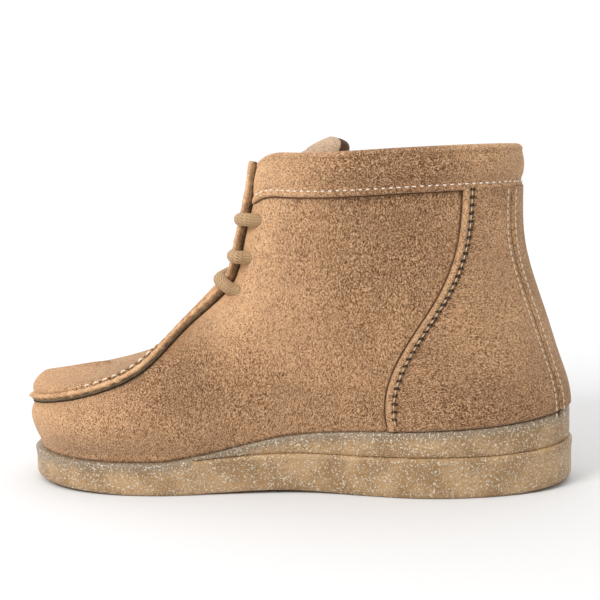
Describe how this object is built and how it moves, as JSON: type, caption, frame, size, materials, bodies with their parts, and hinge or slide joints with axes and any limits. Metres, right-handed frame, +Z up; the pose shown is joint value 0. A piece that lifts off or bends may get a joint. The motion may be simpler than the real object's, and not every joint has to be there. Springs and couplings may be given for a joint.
{
  "type": "suede lace-up ankle boot",
  "caption": "Tan suede moccasin ankle boot with a raised apron toe, padded collar band, round lace and a layered crepe wedge sole, right foot.",
  "frame": {"origin": "on the floor, on the flat underside of the heel, a quarter of the sole's length from its back", "axes": "+X forward to the toe, +Y to the wearer's left, which is the inner side, +Z up"},
  "size_m": [0.281, 0.1057, 0.1741],
  "materials": {
    "suede": "tan suede with a short nap",
    "suede_trim": "tan suede, a little darker",
    "crepe": "honey crepe rubber with a pale fleck",
    "lining": "matt lining",
    "lace": "round braided lace"
  },
  "bodies": {
    "root": {"outsole": "crepe", "wedge_midsole": "crepe", "insole": "lining", "upper": "suede", "raised_seam": "suede_trim", "inner_counter": "suede_trim", "outer_counter": "suede_trim", "back_strap": "suede_trim", "collar_band": "suede_trim", "tongue": "suede", "lower_lace_bar": "lace", "middle_lace_bar": "lace", "upper_lace_bar": "lace"}
  },
  "joints": []
}
